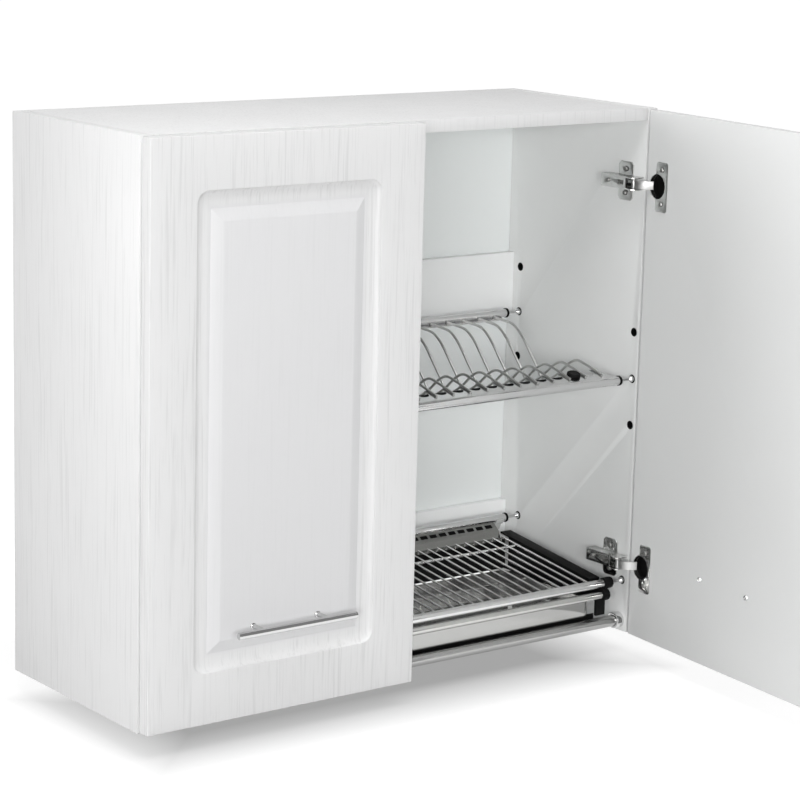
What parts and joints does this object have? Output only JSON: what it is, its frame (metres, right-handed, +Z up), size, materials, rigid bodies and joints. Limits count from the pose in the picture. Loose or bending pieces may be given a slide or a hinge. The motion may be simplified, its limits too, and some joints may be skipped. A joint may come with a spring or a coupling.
{
  "type": "dish drying cabinet",
  "caption": "Wall-hung white cabinet with two hinged doors, a wire rack for plates and a rack for glasses above a drip tray.",
  "frame": {"origin": "middle of the top panel's rear edge, on the wall plane", "axes": "+X to the right seen from the front, +Y to the wall, +Z up"},
  "size_m": [0.8205, 0.7052, 0.72],
  "materials": {
    "white_board": "satin white melamine facing",
    "door_foil": "satin white foil with a faint vertical ash grain",
    "inner_board": "satin light grey-white melamine facing",
    "chrome": "polished chrome plating",
    "stainless": "soft brushed stainless steel",
    "nickel": "bright nickel plating",
    "zinc": "dull zinc plating",
    "black_plastic": "satin black moulded plastic",
    "grey_plastic": "light grey moulded plastic"
  },
  "bodies": {
    "root": {"back_panel": "inner_board", "comb_strip": "black_plastic", "drip_tray": "stainless", "glass_front_pin_left": "chrome", "glass_front_pin_right": "chrome", "glass_rack": "chrome", "glass_rear_cap_left": "black_plastic", "glass_rear_cap_right": "black_plastic", "glass_rear_pin_left": "chrome", "glass_rear_pin_right": "chrome", "hanging_bracket_left": "zinc", "hanging_bracket_right": "zinc", "hinge_arm_lower_left": "nickel", "hinge_arm_lower_right": "nickel", "hinge_arm_upper_left": "nickel", "hinge_arm_upper_right": "nickel", "hinge_plate_lower_left": "nickel", "hinge_plate_lower_right": "nickel", "hinge_plate_upper_left": "nickel", "hinge_plate_upper_right": "nickel", "lower_back_rail": "inner_board", "plate_front_cap_left": "black_plastic", "plate_front_cap_right": "black_plastic", "plate_front_pin_left": "chrome", "plate_front_pin_right": "chrome", "plate_rack": "chrome", "plate_rear_cap_left": "black_plastic", "plate_rear_cap_right": "black_plastic", "plate_rear_pin_left": "chrome", "plate_rear_pin_right": "chrome", "rear_clip_left": "grey_plastic", "rear_clip_right": "grey_plastic", "side_frame_left": "black_plastic", "side_frame_right": "black_plastic", "side_panel_left": "white_board", "side_panel_right": "white_board", "tie_tube": "chrome", "tie_tube_socket_left": "chrome", "tie_tube_socket_right": "chrome", "top_panel": "white_board", "upper_back_rail": "inner_board"},
    "door_left": {"door_left": "door_foil", "handle_left": "chrome", "hinge_cup_lower_left": "nickel", "hinge_cup_upper_left": "nickel"},
    "outer_links_left": {"hinge_outer_link_lower_left": "nickel", "hinge_outer_link_upper_left": "nickel"},
    "inner_links_left": {"hinge_inner_link_lower_left": "nickel", "hinge_inner_link_upper_left": "nickel"},
    "door_right": {"door_right": "door_foil", "handle_right": "chrome", "hinge_cup_lower_right": "nickel", "hinge_cup_upper_right": "nickel"},
    "outer_links_right": {"hinge_outer_link_lower_right": "nickel", "hinge_outer_link_upper_right": "nickel"},
    "inner_links_right": {"hinge_inner_link_lower_right": "nickel", "hinge_inner_link_upper_right": "nickel"}
  },
  "joints": [
    {"name": "door_right_hinge", "type": "hinge", "parent": "root", "child": "door_right", "pos_m": [0.3923, -0.315, -0.352], "axis": [0, 0, 1], "range_deg": [-85, 10]},
    {"name": "outer_links_right_pivot", "type": "hinge", "parent": "root", "child": "outer_links_right", "pos_m": [0.36453, -0.29786, -0.352], "axis": [0, 0, 1], "range_deg": [-3.32, 28.22]},
    {"name": "inner_links_right_pivot", "type": "hinge", "parent": "root", "child": "inner_links_right", "pos_m": [0.36923, -0.29473, -0.352], "axis": [0, 0, 1], "range_deg": [-4, 34]},
    {"name": "door_left_hinge", "type": "hinge", "parent": "root", "child": "door_left", "pos_m": [-0.3923, -0.315, -0.352], "axis": [0, 0, -1], "range_deg": [0, 95]},
    {"name": "outer_links_left_pivot", "type": "hinge", "parent": "root", "child": "outer_links_left", "pos_m": [-0.36453, -0.29786, -0.352], "axis": [0, 0, -1], "range_deg": [-31.54, 0]},
    {"name": "inner_links_left_pivot", "type": "hinge", "parent": "root", "child": "inner_links_left", "pos_m": [-0.36923, -0.29473, -0.352], "axis": [0, 0, -1], "range_deg": [-38, 0]}
  ],
  "couplings": [
    {"joint": "outer_links_right_pivot", "follows": "door_right_hinge", "ratio": -0.332},
    {"joint": "inner_links_right_pivot", "follows": "door_right_hinge", "ratio": -0.4},
    {"joint": "outer_links_left_pivot", "follows": "door_left_hinge", "ratio": -0.332},
    {"joint": "inner_links_left_pivot", "follows": "door_left_hinge", "ratio": -0.4}
  ]
}
